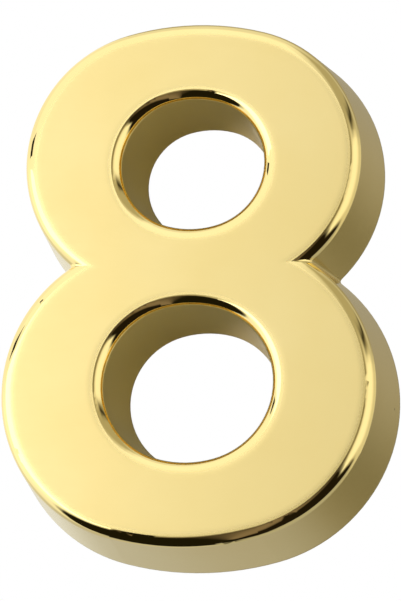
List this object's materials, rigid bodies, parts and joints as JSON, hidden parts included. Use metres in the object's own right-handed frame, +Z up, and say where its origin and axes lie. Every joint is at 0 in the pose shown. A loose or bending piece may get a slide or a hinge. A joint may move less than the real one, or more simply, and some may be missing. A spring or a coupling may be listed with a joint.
{
  "type": "house number",
  "caption": "Polished brass digit eight for a door or wall: hollow casting with drafted sides, rolled front edges and two stud blocks behind.",
  "frame": {"origin": "middle of the two stud holes, on the plane of the back rim", "axes": "+Z up the digit, +Y from the face to the back and into the wall, +X to the right as read"},
  "size_m": [0.0504, 0.0132, 0.07],
  "materials": {
    "polished_brass": "mirror polished, lacquered pale gold"
  },
  "bodies": {
    "root": {"numeral_eight": "polished_brass"}
  },
  "joints": []
}
